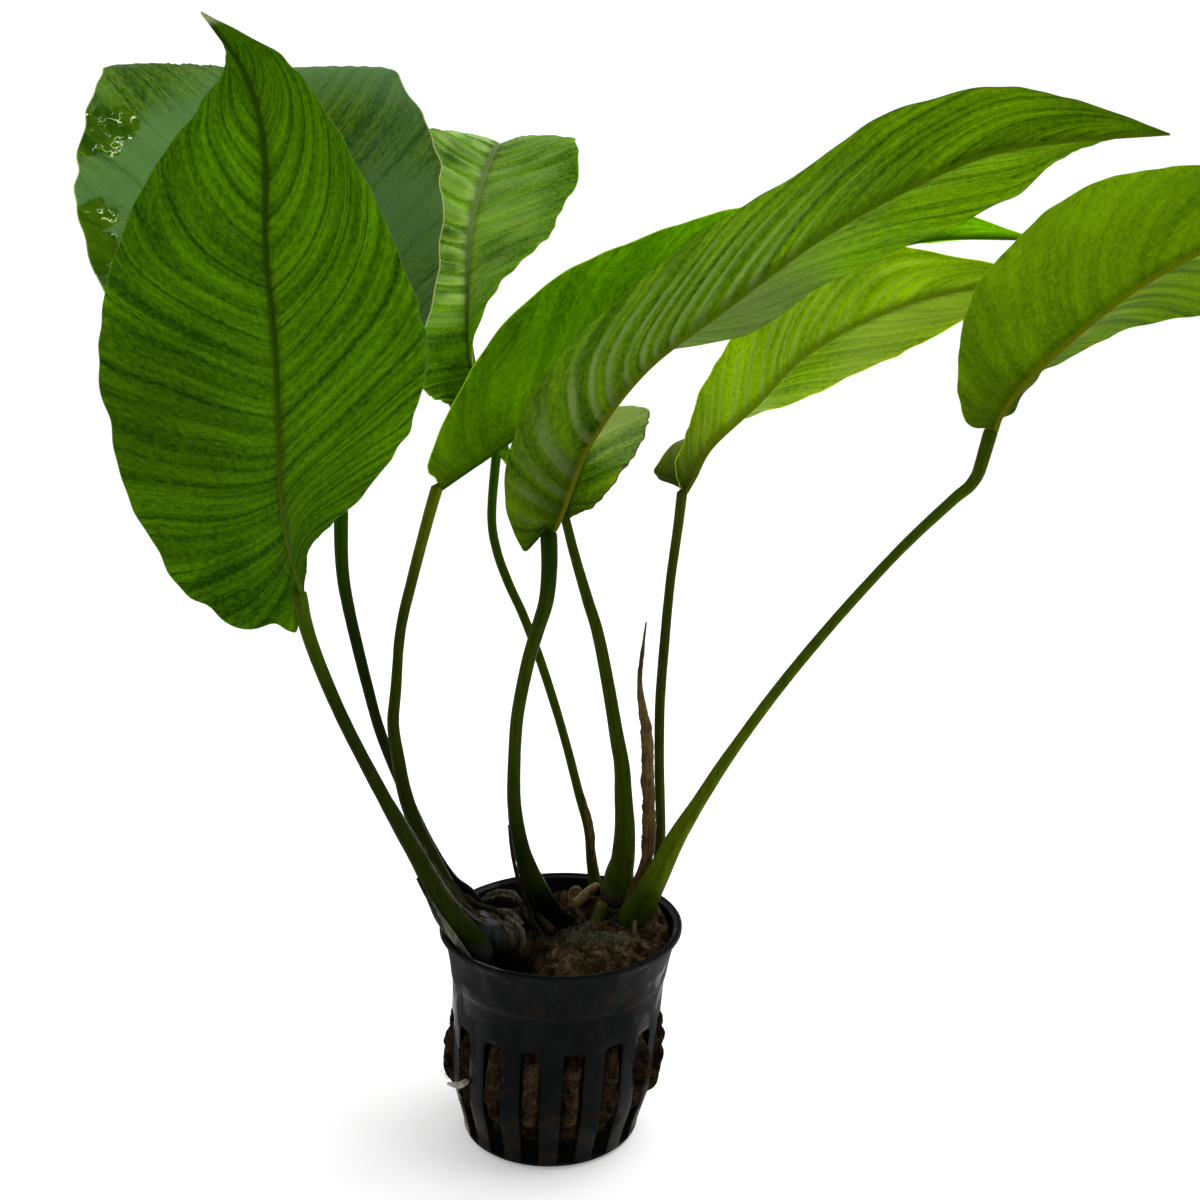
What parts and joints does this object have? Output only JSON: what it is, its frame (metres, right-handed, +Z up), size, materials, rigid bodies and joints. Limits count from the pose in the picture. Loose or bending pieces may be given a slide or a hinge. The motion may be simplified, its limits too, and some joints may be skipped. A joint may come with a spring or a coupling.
{
  "type": "potted anubias heterophylla",
  "caption": "Broad-leaved aquarium plant with long-stalked, spear-shaped leaves, growing in rock wool in a slotted nursery pot.",
  "frame": {"origin": "centre of the pot's flat underside", "axes": "+Z up along the pot, -Y towards the viewer of the picture, +X to the picture's right"},
  "size_m": [0.2501, 0.1597, 0.2199],
  "materials": {
    "pot_plastic": "satin",
    "mineral_wool": "matte",
    "leaf_green": "satin",
    "stalk_green": "satin",
    "bark": "satin",
    "dry_sheath": "matte",
    "root_cream": "satin"
  },
  "bodies": {
    "root": {"net_pot": "pot_plastic", "rock_wool": "mineral_wool", "left_rootstock": "bark", "middle_rootstock": "bark", "right_rootstock": "bark", "front_left_stalk": "stalk_green", "back_left_stalk": "stalk_green", "back_middle_stalk": "stalk_green", "middle_stalk": "stalk_green", "front_right_stalk": "stalk_green", "short_stalk": "stalk_green", "back_right_stalk": "stalk_green", "far_right_stalk": "stalk_green", "front_left_leaf": "leaf_green", "back_left_leaf": "leaf_green", "back_middle_leaf": "leaf_green", "middle_leaf": "leaf_green", "front_right_leaf": "leaf_green", "short_leaf": "leaf_green", "back_right_leaf": "leaf_green", "far_right_leaf": "leaf_green", "tall_dry_sheath": "dry_sheath", "outer_dry_sheath": "dry_sheath", "inner_dry_sheath": "dry_sheath", "slim_dry_sheath": "dry_sheath", "thick_pale_root": "root_cream", "curled_root": "root_cream", "yellow_stub": "root_cream", "brown_stub": "bark", "root_tip": "root_cream", "slot_root": "root_cream"}
  },
  "joints": []
}
